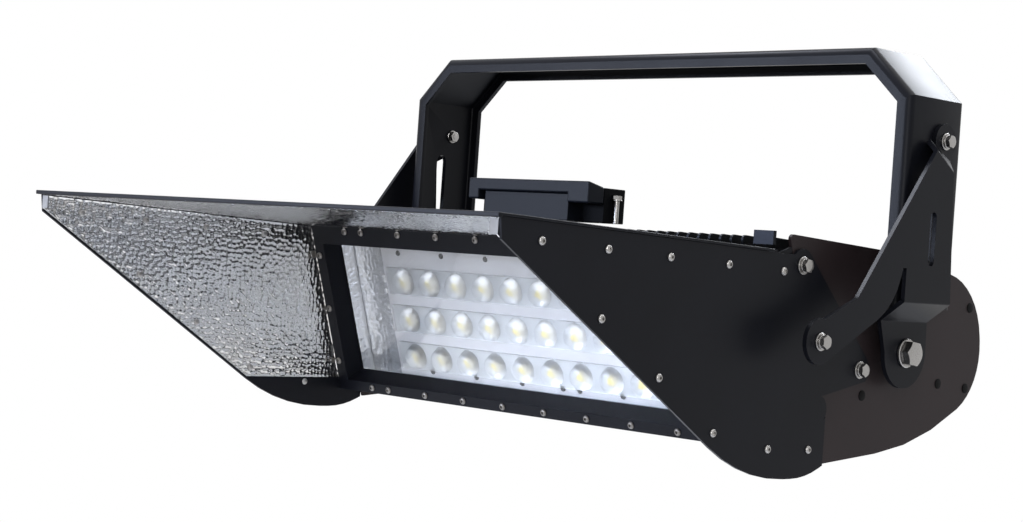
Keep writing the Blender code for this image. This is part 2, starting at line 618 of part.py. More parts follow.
# Supply box ------------------------------------------------------------------------------------------
box_body = rectangle(BOX["left"], BOX["right"], BOX["low"], BOX["high"])
prism("supply_box", box_body, "Y", BOX["front"], BOX["back"], PLASTIC, LAMP)
lid_outline = [(-LID_HALF, LID_HIGH), (-LID_HALF, FLAP_LOW), (FLAP_WIDE_LEFT - LID_HALF, FLAP_LOW),
               (FLAP_WIDE_LEFT - LID_HALF, LID_LOW), (LID_HALF - FLAP_WIDE_RIGHT, LID_LOW),
               (LID_HALF - FLAP_WIDE_RIGHT, FLAP_LOW), (LID_HALF, FLAP_LOW), (LID_HALF, LID_HIGH)]
lid = prism("supply_box_lid", lid_outline, "Y", LID_FRONT, LID_BACK, PLASTIC, LAMP)
lid_fall = [(LID_FRONT, LID_HIGH), (LID_FRONT - THROUGH, LID_HIGH + THROUGH),
            (LID_BACK + THROUGH, LID_HIGH + THROUGH), (LID_BACK, LID_HIGH - LID_SLOPE)]
lid_ends = -LID_HALF - THROUGH, LID_HALF + THROUGH
boolean(lid, prism("lid_slope_cutter", lid_fall, "X", *lid_ends, PLASTIC, LAMP))
for side, hand in ((-1, "left"), (1, "right")):
    bracket = rectangle(LID_BACK + GAP, BOX["back"], BOX["low"], BRACKET_HIGH)
    inner = LID_HALF - FLAP_WIDE_RIGHT + GAP if side > 0 else -BOX["left"] + GAP
    prism("box_bracket_" + hand, bracket, "X", side * inner, side * LID_HALF, PLASTIC, LAMP)
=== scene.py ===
# %% [markdown]
# # A high mast floodlight head
#
# This lesson dresses a floodlight that hangs from a mast in a folded steel yoke. Its shapes come
# packed from the CAD model. Here they get their finishes: satin powder coat on sheet steel,
# hammered reflector sheet, clear optics over the LEDs, and the screws and bolts that hold it all.
# The frame is loaded first.

# %% Load the imported model
import json
import math

import bmesh
import bpy
import numpy as np
from mathutils import Matrix, Vector


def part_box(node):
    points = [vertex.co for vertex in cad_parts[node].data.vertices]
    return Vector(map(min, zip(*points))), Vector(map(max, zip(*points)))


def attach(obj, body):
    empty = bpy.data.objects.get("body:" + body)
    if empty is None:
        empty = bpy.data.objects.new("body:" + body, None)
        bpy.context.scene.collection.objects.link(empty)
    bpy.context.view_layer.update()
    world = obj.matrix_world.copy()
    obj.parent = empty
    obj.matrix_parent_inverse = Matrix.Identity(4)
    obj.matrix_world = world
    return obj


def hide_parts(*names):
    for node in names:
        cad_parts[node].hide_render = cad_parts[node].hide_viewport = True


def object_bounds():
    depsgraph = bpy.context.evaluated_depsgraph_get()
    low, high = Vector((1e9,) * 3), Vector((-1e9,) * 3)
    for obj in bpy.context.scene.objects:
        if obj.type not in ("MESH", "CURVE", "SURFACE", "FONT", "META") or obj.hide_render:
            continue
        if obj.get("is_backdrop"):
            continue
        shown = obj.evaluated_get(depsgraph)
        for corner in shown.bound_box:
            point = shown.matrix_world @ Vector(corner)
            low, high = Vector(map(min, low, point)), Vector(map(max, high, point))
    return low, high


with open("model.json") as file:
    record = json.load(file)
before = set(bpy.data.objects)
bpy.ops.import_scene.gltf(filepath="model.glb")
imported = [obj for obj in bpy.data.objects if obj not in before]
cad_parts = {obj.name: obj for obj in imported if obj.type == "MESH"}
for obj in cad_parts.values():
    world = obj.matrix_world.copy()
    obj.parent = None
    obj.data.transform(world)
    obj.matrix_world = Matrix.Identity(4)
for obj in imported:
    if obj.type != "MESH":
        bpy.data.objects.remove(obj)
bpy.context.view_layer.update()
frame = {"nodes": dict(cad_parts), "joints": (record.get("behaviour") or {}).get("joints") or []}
nodes = frame["nodes"]

# %% [markdown]
# ## The camera
#
# The lamp is seen from its right front corner, at the height of the visor and from about two
# metres. The camera leans a little, as a hand-held one does. Its three turns are written as a
# matrix, so that the lean is about the line of sight and not about the world's axes.

# %% Place the camera
CAMERA_PLACE = (1.3119, -1.5035, -0.2083)
LENS_MM, SENSOR_MM, NEAREST = 71.06, 36.0, 0.02
YAW, PITCH, LEAN = 0.787236, 0.000745, 0.070698


def place_camera():
    """The line of sight from yaw and pitch, and the view's right and up turned round it by the lean."""
    sight = Vector((-math.sin(YAW) * math.cos(PITCH), math.cos(YAW) * math.cos(PITCH), -math.sin(PITCH)))
    right = Vector((math.cos(YAW), math.sin(YAW), 0.0))
    up = right.cross(sight)
    leant_right = math.cos(LEAN) * right + math.sin(LEAN) * up
    leant_up = -math.sin(LEAN) * right + math.cos(LEAN) * up
    turn = Matrix((leant_right, leant_up, -sight)).transposed().to_4x4()
    camera = bpy.data.objects.new("camera", bpy.data.cameras.new("camera"))
    bpy.context.scene.collection.objects.link(camera)
    camera.matrix_world = Matrix.Translation(CAMERA_PLACE) @ turn
    camera.data.lens = LENS_MM
    camera.data.sensor_width = SENSOR_MM
    camera.data.clip_start = NEAREST
    bpy.context.scene.camera = camera
    return camera


camera = place_camera()
print("camera at", [round(v, 3) for v in camera.location])

# %% [markdown]
# ## Helpers for colours and nodes
#
# A colour is written as the hex code that a paint chart gives, and turned to linear light once.
# One function adds a shader node with its settings and links, so that a finish reads as a list of
# what feeds what.


# %% Colours and nodes
def linear(code, alpha=1.0):
    """An sRGB hex code as linear light: above the toe a channel c becomes ((c + 0.055) / 1.055) ** 2.4."""
    channels = np.array([int(code[i:i + 2], 16) for i in (1, 3, 5)]) / 255.0
    light = np.where(channels <= 0.04045, channels / 12.92, ((channels + 0.055) / 1.055) ** 2.4)
    return (*light.tolist(), alpha)


def add(tree, kind, settings=None, links=None):
    """Adds a node. A setting goes to the input of that name or else to the property, a link to an input."""
    node = tree.nodes.new("ShaderNode" + kind)
    for key, value in (settings or {}).items():
        if isinstance(key, int) or key in node.inputs:
            node.inputs[key].default_value = value
        else:
            setattr(node, key, value)
    for key, socket in (links or {}).items():
        tree.links.new(socket, node.inputs[key])
    return node


def new_material(name):
    """An empty material with its output, object coordinates in metres and a Principled shader."""
    made = bpy.data.materials.new(name)
    made.use_nodes = True
    tree = made.node_tree
    tree.nodes.clear()
    output = add(tree, "OutputMaterial")
    place = add(tree, "TexCoord").outputs["Object"]
    shader = add(tree, "BsdfPrincipled")
    tree.links.new(shader.outputs[0], output.inputs["Surface"])
    return made, tree, place, shader


def link_finish(tree, shader, colour, roughness, normal):
    """Links a mixed colour, a range of roughness and a bump to the shader."""
    tree.links.new(colour.outputs[2], shader.inputs["Base Color"])
    tree.links.new(roughness.outputs[0], shader.inputs["Roughness"])
    tree.links.new(normal.outputs[0], shader.inputs["Normal"])


print("black coat as linear light:", [round(v, 4) for v in linear("#17181b")])

# %% [markdown]
# ## Helpers for meshes
#
# A turned part, such as a screw's head, is a profile swept round an axis. Blender's Spin tool could
# draw it, but whole arrays are quicker for many screws, and a ring's radius may follow a formula,
# which is how a hexagon comes out of a turned shape. Poles are welded, so each shape is closed.

# %% Meshes from arrays
WELD_STEPS = 1e7


def mesh_object(name, points, faces, smooth_angle=35):
    """A mesh object at the origin from arrays of points and faces, shaded smooth up to an angle."""
    mesh = bpy.data.meshes.new(name)
    mesh.from_pydata(np.asarray(points, float).tolist(), [], [list(face) for face in faces])
    mesh.validate()
    mesh.shade_smooth()
    mesh.set_sharp_from_angle(angle=math.radians(smooth_angle))
    made = bpy.data.objects.new(name, mesh)
    bpy.context.scene.collection.objects.link(made)
    return made


def revolve(rings, around, closed=True):
    """A surface of revolution: row i of rings is (radius or radii, height or heights), each one number
    or one per angle. The point at angle a is (r cos a, r sin a, h). A ring of no radius is a pole."""
    angles = np.linspace(0, 2 * np.pi, around, endpoint=False)
    radius = np.stack([np.broadcast_to(r, around) for r, h in rings])
    height = np.stack([np.broadcast_to(h, around) for r, h in rings])
    points = np.stack([radius * np.cos(angles), radius * np.sin(angles), height], -1).reshape(-1, 3)
    i, j = np.meshgrid(np.arange(len(rings) - 1), np.arange(around), indexing="ij")
    a, b = i * around + j, i * around + (j + 1) % around
    faces = np.stack([a, b, b + around, a + around], -1).reshape(-1, 4)
    return points, faces


def welded(points, faces):
    """Points that coincide made one, and each face given without its doubles, so that poles close."""
    steps = np.round(points * WELD_STEPS).astype(np.int64)
    keys, back = np.unique(steps, axis=0, return_inverse=True)
    back = back.reshape(-1)
    kept = [list(dict.fromkeys(back[np.asarray(face)].tolist())) for face in faces]
    return keys / WELD_STEPS, [face for face in kept if len(face) > 2]


print("points closer than", 1000 / WELD_STEPS, "mm are welded")

# %% [markdown]
# The same screw comes many times. Linked copies would show the same, but a finished piece has to be
# one mesh at the origin, so the copies are turned and placed as one array, then joined.


# %% Copies of a shape
def stamped(points, faces, places, turns):
    """The shape repeated: copy k is points @ turns[k].T + places[k], worked out for all copies at once."""
    places, turns = np.asarray(places, float), np.asarray(turns, float)
    many = np.einsum("kij,pj->kpi", turns, points) + places[:, None, :]
    count = len(points)
    every = [[v + k * count for v in face] for k in range(len(places)) for face in faces]
    return many.reshape(-1, 3), every


def facing(direction, roll=0.0):
    """The turn that takes the shape's own Z to the direction, after a roll about it."""
    way = Vector(direction).to_track_quat("Z", "Y").to_matrix()
    return np.array(way @ Matrix.Rotation(roll, 3, "Z"))


def joined(parts):
    """Several (points, faces) as one."""
    points, faces, start = [], [], 0
    for part_points, part_faces in parts:
        points.append(np.asarray(part_points, float))
        faces += [[v + start for v in face] for face in part_faces]
        start += len(part_points)
    return np.concatenate(points), faces


print("up turned to the right:", np.round(facing((1, 0, 0)) @ (0, 0, 1), 3))

# %% [markdown]
# ## Satin black powder coat
#
# The yoke, the arms, the housing's ends and the visor's plates are laser-cut sheet steel with a
# polyester powder coat, baked at about 190 degrees. The melted powder draws into a skin of shallow
# swells, the orange peel, a millimetre or two across, over a much finer grain that scatters the
# shine. Noise at those two sizes drives the bump, and a slow third one varies the roughness, as
# uneven film thickness does. A paint's reflection is that of a dielectric, so nothing is metallic.
# An image of paint would bring seams and a size of its own, and noise in metres has neither.


# %% Powder coat
def powder_coat(name, colour, worn, roughness, shine, peel_mm=1.6):
    """Paint over steel: colour with faint clouding, orange peel at peel_mm and a fine grain under it."""
    made, tree, place, shader = new_material(name)
    clouds = add(tree, "TexNoise", {"Scale": 14.0, "Detail": 3.0, "Roughness": 0.55}, {"Vector": place})
    mixed = add(tree, "Mix", {"data_type": "RGBA", 6: linear(colour), 7: linear(worn)},
                {0: clouds.outputs["Fac"]})
    peel = add(tree, "TexNoise", {"Scale": 1.0 / (peel_mm * 0.001), "Detail": 1.0}, {"Vector": place})
    grain = add(tree, "TexNoise", {"Scale": 1.0 / 0.0004, "Detail": 0.0}, {"Vector": place})
    swell = add(tree, "Bump", {"Strength": 0.35, "Distance": 0.00006}, {"Height": peel.outputs["Fac"]})
    skin = add(tree, "Bump", {"Strength": 0.3, "Distance": 0.00002},
               {"Height": grain.outputs["Fac"], "Normal": swell.outputs[0]})
    gloss = add(tree, "MapRange", {"To Min": roughness - 0.05, "To Max": roughness + 0.07},
                {"Value": clouds.outputs["Fac"]})
    shader.inputs["Specular IOR Level"].default_value = shine
    link_finish(tree, shader, mixed, gloss, skin)
    return made


BLACK_COAT = powder_coat("satin_black_powder_coat", "#0b0c10", "#111217", 0.36, 0.085)
# The housing's ends are black paint. The warm tint in these two colours is a painted reflection of a warm
# ground.
HOUSING_COAT = powder_coat("black_coat_painted_warm_reflection", "#1b1516", "#272021", 0.42, 0.12)
print("coats:", BLACK_COAT.name, HOUSING_COAT.name)

# %% [markdown]
# ## Hammered reflector aluminium
#
# The visor's linings and the light tray are bright aluminium sheet, rolled between patterned
# rollers that leave shallow dimples about 5 mm across. The sheet between them keeps its mirror
# finish, so each dimple throws back its own small picture of the surroundings. The linings get
# their dimples as real shape further down. The material adds the rolling grain, finer than a
# millimetre, and the slight haze of anodising. The tray's anodising is thicker and paler, so part
# of the light scatters in it. The same function gives the steels and the heat sink's black
# anodising, whose grain is drawn out along the way the metal was drawn.


# %% Reflector sheet, cast aluminium and steel
def metal(name, colour, stained, roughness, spread, grain_mm, depth_mm, stretch=(1.0, 1.0, 1.0), bare=1.0):
    """Metal: colour stained in soft clouds, roughness varied by spread, grain of one size in the bump.
    Where bare is under 1, an oxide film over it scatters the rest of the light."""
    made, tree, place, shader = new_material(name)
    stretched = add(tree, "Mapping", {"Scale": stretch}, {"Vector": place})
    grain = add(tree, "TexNoise", {"Scale": 1.0 / (grain_mm * 0.001), "Detail": 2.0},
                {"Vector": stretched.outputs[0]})
    clouds = add(tree, "TexNoise", {"Scale": 22.0, "Detail": 4.0}, {"Vector": place})
    mixed = add(tree, "Mix", {"data_type": "RGBA", 6: linear(colour), 7: linear(stained)},
                {0: clouds.outputs["Fac"]})
    rough = add(tree, "MapRange", {"To Min": roughness - spread, "To Max": roughness + spread},
                {"Value": grain.outputs["Fac"]})
    bump = add(tree, "Bump", {"Strength": 0.5, "Distance": depth_mm * 0.001},
               {"Height": grain.outputs["Fac"]})
    shader.inputs["Metallic"].default_value = bare
    link_finish(tree, shader, mixed, rough, bump)
    return made


REFLECTOR = metal("hammered_bright_aluminium", "#d7d6d5", "#c7c6c5", 0.11, 0.04, 0.8, 0.006)
TRAY_SHEET = metal("anodised_hammered_aluminium", "#f7f8fa", "#edeef2", 0.15, 0.05, 0.8, 0.006, bare=0.72)
STEEL = metal("stainless_steel_a2", "#a4a2a0", "#8c8a88", 0.30, 0.10, 0.5, 0.020, (1.0, 1.0, 0.25))
STEEL_DULL = metal("zinc_plated_steel", "#7d7a76", "#6a6763", 0.42, 0.08, 0.5, 0.012)
STEEL_DARK = metal("blackened_steel", "#3b3d42", "#2a2b2f", 0.42, 0.08, 0.5, 0.012)
CAST = metal("black_anodised_extrusion", "#17181b", "#202226", 0.45, 0.1, 1.2, 0.02, (1.0, 0.2, 1.0))
print("metals:", [look.name for look in (REFLECTOR, TRAY_SHEET, STEEL, STEEL_DULL, STEEL_DARK, CAST)])

# %% [markdown]
# ## Clear optics and glass
#
# Injection-moulded acrylic stands over each LED, and a sheet of toughened glass closes the lamp.
# Both are modelled as solid clear bodies with their true index of refraction. The optics' skin is
# faintly etched by the mould, which softens what shows through it, and the glass is polished. Lamps
# have to reach what stands behind them, so a shadow ray meets a plain clear shader in their place.


# %% Clear materials
def clear_body(name, tint, ior, roughness):
    """A refracting body. Noise at 2 mm gives the faint ripple of moulded or rolled glass."""
    made, tree, place, shader = new_material(name)
    ripple = add(tree, "TexNoise", {"Scale": 1.0 / 0.002, "Detail": 1.0}, {"Vector": place})
    bump = add(tree, "Bump", {"Strength": 0.15, "Distance": 0.00003}, {"Height": ripple.outputs["Fac"]})
    for socket, value in (("Base Color", linear(tint)), ("Transmission Weight", 1.0), ("IOR", ior),
                          ("Roughness", roughness)):
        shader.inputs[socket].default_value = value
    tree.links.new(bump.outputs[0], shader.inputs["Normal"])
    passing = add(tree, "BsdfTransparent", {"Color": linear(tint)})
    light_path = add(tree, "LightPath")
    mixed = add(tree, "MixShader", {}, {0: light_path.outputs["Is Shadow Ray"], 1: shader.outputs[0],
                                        2: passing.outputs[0]})
    output = next(n for n in tree.nodes if n.type == "OUTPUT_MATERIAL")
    tree.links.new(mixed.outputs[0], output.inputs["Surface"])
    return made


GLASS = clear_body("toughened_low_iron_glass", "#f7f8f8", 1.52, 0.0)
ACRYLIC = clear_body("moulded_acrylic", "#fbfcfb", 1.49, 0.30)
print("clear:", GLASS.name, ACRYLIC.name)

# %% [markdown]
# What is neither clear nor bright has one more function: the board's white lacquer, the phosphor of
# the LEDs, rubber, the supply box's grained plastic and the etched front flange of the linings. Two
# near colours clouded together keep each from looking flat, and a fine grain takes its shine down.


# %% Board, LEDs, rubber and plastic
def plain_body(name, colour, other, roughness, grain_mm, depth_mm, specular=0.5):
    """Plastic, rubber or lacquer: two near colours clouded together and a moulded grain."""
    made, tree, place, shader = new_material(name)
    grain = add(tree, "TexNoise", {"Scale": 1.0 / (grain_mm * 0.001), "Detail": 2.0}, {"Vector": place})
    clouds = add(tree, "TexNoise", {"Scale": 30.0, "Detail": 3.0}, {"Vector": place})
    mixed = add(tree, "Mix", {"data_type": "RGBA", 6: linear(colour), 7: linear(other)},
                {0: clouds.outputs["Fac"]})
    rough = add(tree, "MapRange", {"To Min": roughness - 0.06, "To Max": roughness + 0.06},
                {"Value": grain.outputs["Fac"]})
    bump = add(tree, "Bump", {"Strength": 0.5, "Distance": depth_mm * 0.001},
               {"Height": grain.outputs["Fac"]})
    shader.inputs["Specular IOR Level"].default_value = specular
    link_finish(tree, shader, mixed, rough, bump)
    return made


SOLDER_MASK = plain_body("white_solder_mask", "#c8c6c6", "#bebcbc", 0.32, 0.6, 0.01)
PHOSPHOR = plain_body("yellow_led_phosphor", "#efd65e", "#e6c544", 0.5, 0.3, 0.02)
RUBBER = plain_body("silicone_rubber", "#060606", "#0a0a0b", 0.75, 0.7, 0.03, 0.10)
BOX_PLASTIC = plain_body("grained_black_polycarbonate", "#0d1016", "#12151c", 0.42, 0.9, 0.03, 0.09)
BRACKET_COAT = plain_body("matt_black_bracket", "#07080a", "#0b0c0f", 0.62, 0.9, 0.02, 0.04)
ETCHED = plain_body("etched_aluminium_flange", "#8b8a88", "#7b7a78", 0.55, 0.5, 0.01, 0.12)
print("plain:", [look.name for look in (SOLDER_MASK, PHOSPHOR, RUBBER, BOX_PLASTIC, BRACKET_COAT, ETCHED)])

# %% [markdown]
# ## Where things are
#
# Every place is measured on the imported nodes. The lens frame leans back, so its own axes are read
# off its corners: its front top edge has the lowest Y and its front bottom edge the lowest Z. Down
# runs along its face from one to the other, and out leaves it square.


# %% Measure the lens frame's axes
def corners_of(node):
    """All points of a node as an array."""
    mesh = nodes[node].data
    flat = np.empty(len(mesh.vertices) * 3, np.float32)
    mesh.vertices.foreach_get("co", flat)
    return flat.reshape(-1, 3).astype(float)


frame_points = corners_of("lens_frame")
front_top = frame_points[frame_points[:, 1].argmin()] * (0, 1, 1)
front_low = frame_points[frame_points[:, 2].argmin()] * (0, 1, 1)
DOWN = (front_low - front_top) / np.linalg.norm(front_low - front_top)
OUT = np.array([0.0, DOWN[2], -DOWN[1]])


def lens_place(x, down, out=0.0):
    """The point x across, down from the frame's top edge and out from its face, all in metres."""
    x, down, out = np.broadcast_arrays(x, down, out)
    across = np.stack([x, np.zeros_like(x), np.zeros_like(x)], -1)
    return across + front_top + down[..., None] * DOWN + out[..., None] * OUT


def lens_reach(node):
    """Lowest and highest x, distance down and distance out of a node in the lens frame's axes."""
    points = corners_of(node)
    along = np.stack([points[:, 0], (points - front_top) @ DOWN, (points - front_top) @ OUT], 1)
    return along.min(0), along.max(0)


FRAME_LOW, FRAME_HIGH = lens_reach("lens_frame")
BOARD_LOW, BOARD_HIGH = lens_reach("led_board")
lean = math.degrees(math.asin(DOWN[1]))
print("lens frame", np.round(FRAME_LOW, 4), np.round(FRAME_HIGH, 4), "lean", round(lean, 2))

# %% [markdown]
# ## Eased edges on the sheet metal
#
# Sheet cut by laser is tumbled or brushed before it is coated, and the coat draws over what is
# left of the edge, so no edge is sharper than about half a millimetre. That thin round line is
# what catches the light on a black lamp. A Bevel shader could draw it in a render, but the mesh
# would stay sharp. So a copy of each plate is merged, its flat faces are joined again, and a Bevel
# modifier rounds every edge over 30 degrees. The moulded supply box gets a segment more.


# %% A copy with rounded edges
MERGE, FLAT_WITHIN, SHARP_OVER, EASED_OVER = 2e-6, 0.4, 28, 30


def eased(node, look, width, body, segments=2):
    """A finished copy of a CAD node: merged, flat areas dissolved, edges rounded by width, and coated."""
    sheet = bmesh.new()
    sheet.from_mesh(nodes[node].data)
    bmesh.ops.remove_doubles(sheet, verts=sheet.verts, dist=MERGE)
    bmesh.ops.dissolve_limit(sheet, angle_limit=math.radians(FLAT_WITHIN), verts=sheet.verts,
                             edges=sheet.edges, delimit={"NORMAL"})
    mesh = bpy.data.meshes.new(node + "_finished")
    sheet.to_mesh(mesh)
    sheet.free()
    mesh.shade_smooth()
    mesh.set_sharp_from_angle(angle=math.radians(SHARP_OVER))
    mesh.materials.append(look)
    made = bpy.data.objects.new(node + "_finished", mesh)
    bpy.context.scene.collection.objects.link(made)
    edge = made.modifiers.new("Eased edges", "BEVEL")
    edge.width = width
    edge.segments = segments
    edge.limit_method = "ANGLE"
    edge.angle_limit = math.radians(EASED_OVER)
    edge.use_clamp_overlap = True
    edge.harden_normals = True
    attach(made, body)
    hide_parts(node)
    return made


print("edges over", EASED_OVER, "degrees are rounded")

# %% The plates and the supply box
plates = {
    "yoke": ("yoke_frame", 0.0012), "arm_plate_left": ("yoke_frame", 0.0008),
    "arm_plate_right": ("yoke_frame", 0.0008), "visor_side_left": ("lamp", 0.0007),
    "visor_side_right": ("lamp", 0.0007), "visor_top": ("lamp", 0.0009), "lens_frame": ("lamp", 0.0005),
}
moulded = (
    ("supply_box", BOX_PLASTIC, 0.0008), ("supply_box_lid", BOX_PLASTIC, 0.0018),
    ("box_bracket_left", BRACKET_COAT, 0.0008), ("box_bracket_right", BRACKET_COAT, 0.0008),
)
for node, (body, width) in plates.items():
    eased(node, BLACK_COAT, width, body)
for node in ("end_plate_left", "end_plate_right"):
    eased(node, HOUSING_COAT, 0.0006, "lamp")
for node, look, width in moulded:
    eased(node, look, width, "lamp", 3)
print("eased:", len(plates) + 2 + len(moulded), "pieces")

# %% [markdown]
# The other pieces have their true shape already, so they need no copy and get their finish by name:
# the heat sink and its lugs, the pivots' bosses and spacers, the LED board, the glass, its gasket.

# %% Finishes on the nodes that stay
staying = {
    "heat_sink": CAST, "sink_lug_left": CAST, "sink_lug_right": CAST, "pivot_boss_left": CAST,
    "pivot_boss_right": CAST, "led_board": SOLDER_MASK, "front_glass": GLASS, "glass_gasket": RUBBER,
    "pivot_spacer_left": STEEL, "pivot_spacer_right": STEEL,
}
for node, look in staying.items():
    nodes[node].data.materials.clear()
    nodes[node].data.materials.append(look)
print("finishes set on", len(staying), "nodes that stay")

# %% [markdown]
# ## Dimples of the hammered sheets
#
# A patterned roller prints a field of shallow round hollows, close together but not in rows. Each
# point of the sheet belongs to the nearest of a set of jittered centres, and the hollow's depth
# there falls with the square of the distance from that centre. Where two hollows meet, a low ridge
# is left. Bump could draw all this, but a mirror gives a flat mesh away, so the hollows are shape.

# %% Hollows
DIMPLE, DIMPLE_DEEP = 0.0046, 0.00075
TILE, REACH_SQUARED = 97, 0.62


def hollows(u, v, seed):
    """Depth at each (u, v): 1 - (distance to the nearest jittered centre / reach) squared, never under 0.
    The centres repeat every TILE dimples."""
    jitter = np.random.default_rng(seed).uniform(0.18, 0.82, (TILE, TILE, 2))
    cell_u, cell_v = np.floor(u / DIMPLE).astype(int), np.floor(v / DIMPLE).astype(int)
    nearest = np.full(u.shape, np.inf)
    for step_u, step_v in np.ndindex(3, 3):
        near_u, near_v = cell_u + step_u - 1, cell_v + step_v - 1
        centre = jitter[near_u % TILE, near_v % TILE]
        away = (u / DIMPLE - near_u - centre[..., 0]) ** 2 + (v / DIMPLE - near_v - centre[..., 1]) ** 2
        nearest = np.minimum(nearest, away)
    return np.clip(1 - nearest / REACH_SQUARED, 0, 1)


print("dimples", DIMPLE, "m across and", DIMPLE_DEEP, "m deep")

# %% [markdown]
# The sheet is a grid of points: two numbers along it give a point's place, and its hollow's depth
# moves it back. A rim and a flat back close the sheet, so that it has a thickness at its cut edges.

# %% A sheet with hollows
GRID, CLEAR_OF_ZERO = 0.00095, 3.0


def hammered(flat, normal, thickness, seed, deepest=DIMPLE_DEEP):
    """A closed sheet from a grid of places. The bright face is each place moved back along the normal by
    its hollow's depth, which fades to nothing in the last two rows. The back is flat, and a rim joins
    the two."""
    normal = np.asarray(normal, float)
    rows, columns = flat.shape[:2]
    u_way = flat[-1, 0] - flat[0, 0]
    u_way /= np.linalg.norm(u_way)
    u, v = flat @ u_way + CLEAR_OF_ZERO, flat @ np.cross(normal, u_way) + CLEAR_OF_ZERO
    i, j = np.meshgrid(np.arange(rows), np.arange(columns), indexing="ij")
    rim = np.minimum(np.minimum(i, rows - 1 - i), np.minimum(j, columns - 1 - j))
    deep = hollows(u, v, seed) * deepest * np.clip(rim / 2, 0, 1)
    k = (i * columns + j)[:-1, :-1]
    faces = np.stack([k, k + columns, k + columns + 1, k + 1], -1).reshape(-1, 4)
    edge = np.concatenate([k[:, 0], [(rows - 1) * columns], (rows - 1) * columns + np.arange(1, columns),
                           np.arange(rows - 2, -1, -1) * columns + columns - 1,
                           np.arange(columns - 2, 0, -1)])
    if np.dot(np.cross(flat[1, 0] - flat[0, 0], flat[0, 1] - flat[0, 0]), normal) < 0:
        faces, edge = faces[:, ::-1], edge[::-1]
    back = rows * columns + np.arange(len(edge))
    rims = np.stack([np.roll(edge, -1), edge, back, np.roll(back, -1)], -1)
    points = np.concatenate([(flat - deep[..., None] * normal).reshape(-1, 3),
                             flat.reshape(-1, 3)[edge] - thickness * normal])
    return points, faces.tolist() + rims.tolist() + [back[::-1].tolist()]


def grid(a, b, c, d, size=GRID, s=None):
    """Places over four corners, each the bilinear blend (1-s)(1-t) a + s(1-t) b + st c + (1-s)t d."""
    a, b, c, d = (np.asarray(corner, float) for corner in (a, b, c, d))
    s = np.linspace(0, 1, int(np.linalg.norm(b - a) / size) + 2) if s is None else s
    s = s[:, None, None]
    t = np.linspace(0, 1, int(np.linalg.norm(d - a) / size) + 2)[None, :, None]
    return (1 - s) * (1 - t) * a + s * (1 - t) * b + s * t * c + (1 - s) * t * d


print("points", GRID, "m apart,", round(DIMPLE / GRID, 1), "to a dimple")

# %% [markdown]
# The side linings are five-sided: a short upright front edge, a long slanting one, the lens frame's
# lean at the back. Their grid runs from one edge to the other at each height, so its rows follow
# the outline and no square is cut. Each turns a narrow flange inwards at its front. The flange is
# bent after the sheet was masked and etched, so it is matt where the lining is bright.

# %% The visor's side linings
LINING_FACE = {}
AT_EDGE, OVER_TOE, FACES_FRONT = 1e-4, 0.001, -0.8
SETTLING_ROUNDS = 8


def reflector_piece(name, parts, node, look):
    """Hammered sheets as one piece that stands in for a node of the lamp."""
    points, faces = joined(parts)
    made = mesh_object(name, points, faces, 60)
    made.data.materials.append(look)
    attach(made, "lamp")
    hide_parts(node)
    return made


def side_lining(hand, side):
    """Row t, place s: the edges' y at that height blended by s, and the height from the low edge to the
    top's slope. The top's height depends on y and y on the height, so the two are worked out in turn
    until they settle."""
    points = corners_of("side_lining_" + hand)
    lo, hi = points.min(0), points.max(0)
    flange_end, inner, outer = np.unique(np.round(np.abs(points[:, 0]), 4))
    LINING_FACE[hand] = side * inner
    front = points[points[:, 1] < lo[1] + AT_EDGE, 2]
    toe, front_high = front.min(), front.max()
    low = points[points[:, 2] < lo[2] + AT_EDGE, 1]
    foot, heel = low.min(), low.max()
    above = points[points[:, 2] > toe + OVER_TOE]
    rear_y, rear_high = above[above[:, 1].argmax(), 1:]
    s = np.linspace(0, 1, int((heel - lo[1]) / GRID))[:, None]
    t = np.linspace(0, 1, int((hi[2] - lo[2]) / GRID))[None, :]
    z = lo[2] + t * (hi[2] - lo[2]) + 0 * s
    for _ in range(SETTLING_ROUNDS):
        first = np.where(z < toe, foot + (z - lo[2]) / (toe - lo[2]) * (lo[1] - foot), lo[1])
        last = heel + (z - lo[2]) / (rear_high - lo[2]) * (rear_y - heel)
        y = (1 - s) * first + s * last
        z = lo[2] + t * (front_high + (y - lo[1]) / (rear_y - lo[1]) * (rear_high - front_high) - lo[2])
    face = np.stack([np.full_like(y, side * inner), y, z], -1)
    sheet = hammered(face, (-side, 0, 0), outer - inner, seed=5 + side)
    flange = grid((side * inner, lo[1], toe), (side * flange_end, lo[1], toe),
                  (side * flange_end, lo[1], front_high), (side * inner, lo[1], front_high))
    flange = hammered(flange, (0, -1, 0), outer - inner, seed=7)
    made = reflector_piece("hammered_side_" + hand, [sheet, flange], "side_lining_" + hand, REFLECTOR)
    made.data.materials.append(ETCHED)
    normals = np.empty(len(made.data.polygons) * 3, np.float32)
    made.data.polygons.foreach_get("normal", normals)
    etched = normals[1::3] < FACES_FRONT
    made.data.polygons.foreach_set("material_index", etched.astype(np.int32))
    return made


for side, hand in ((-1, "left"), (1, "right")):
    print("lining", hand, "faces:", len(side_lining(hand, side).data.polygons))

# %% [markdown]
# The roof's lining is one flat plane. It is seen at a low angle, where the dimples crowd together,
# so a coarser grid is enough.

# %% The roof's lining
ROOF_GRID = 0.00145


def top_lining():
    """The lining under the visor's roof: one plane, its bright face down."""
    points = corners_of("top_lining")
    lo, hi = points.min(0), points.max(0)
    front = points[points[:, 1] < lo[1] + AT_EDGE][:, 2].min()
    rear = points[points[:, 1] > hi[1] - AT_EDGE][:, 2].min()
    normal = np.cross((1, 0, 0), (0, hi[1] - lo[1], rear - front))
    normal /= -np.linalg.norm(normal)
    flat = grid((lo[0], lo[1], front), (hi[0], lo[1], front), (hi[0], hi[1], rear), (lo[0], hi[1], rear),
                ROOF_GRID)
    sheet = hammered(flat, normal, hi[2] - front, seed=11)
    return reflector_piece("hammered_roof", [sheet], "top_lining", REFLECTOR)


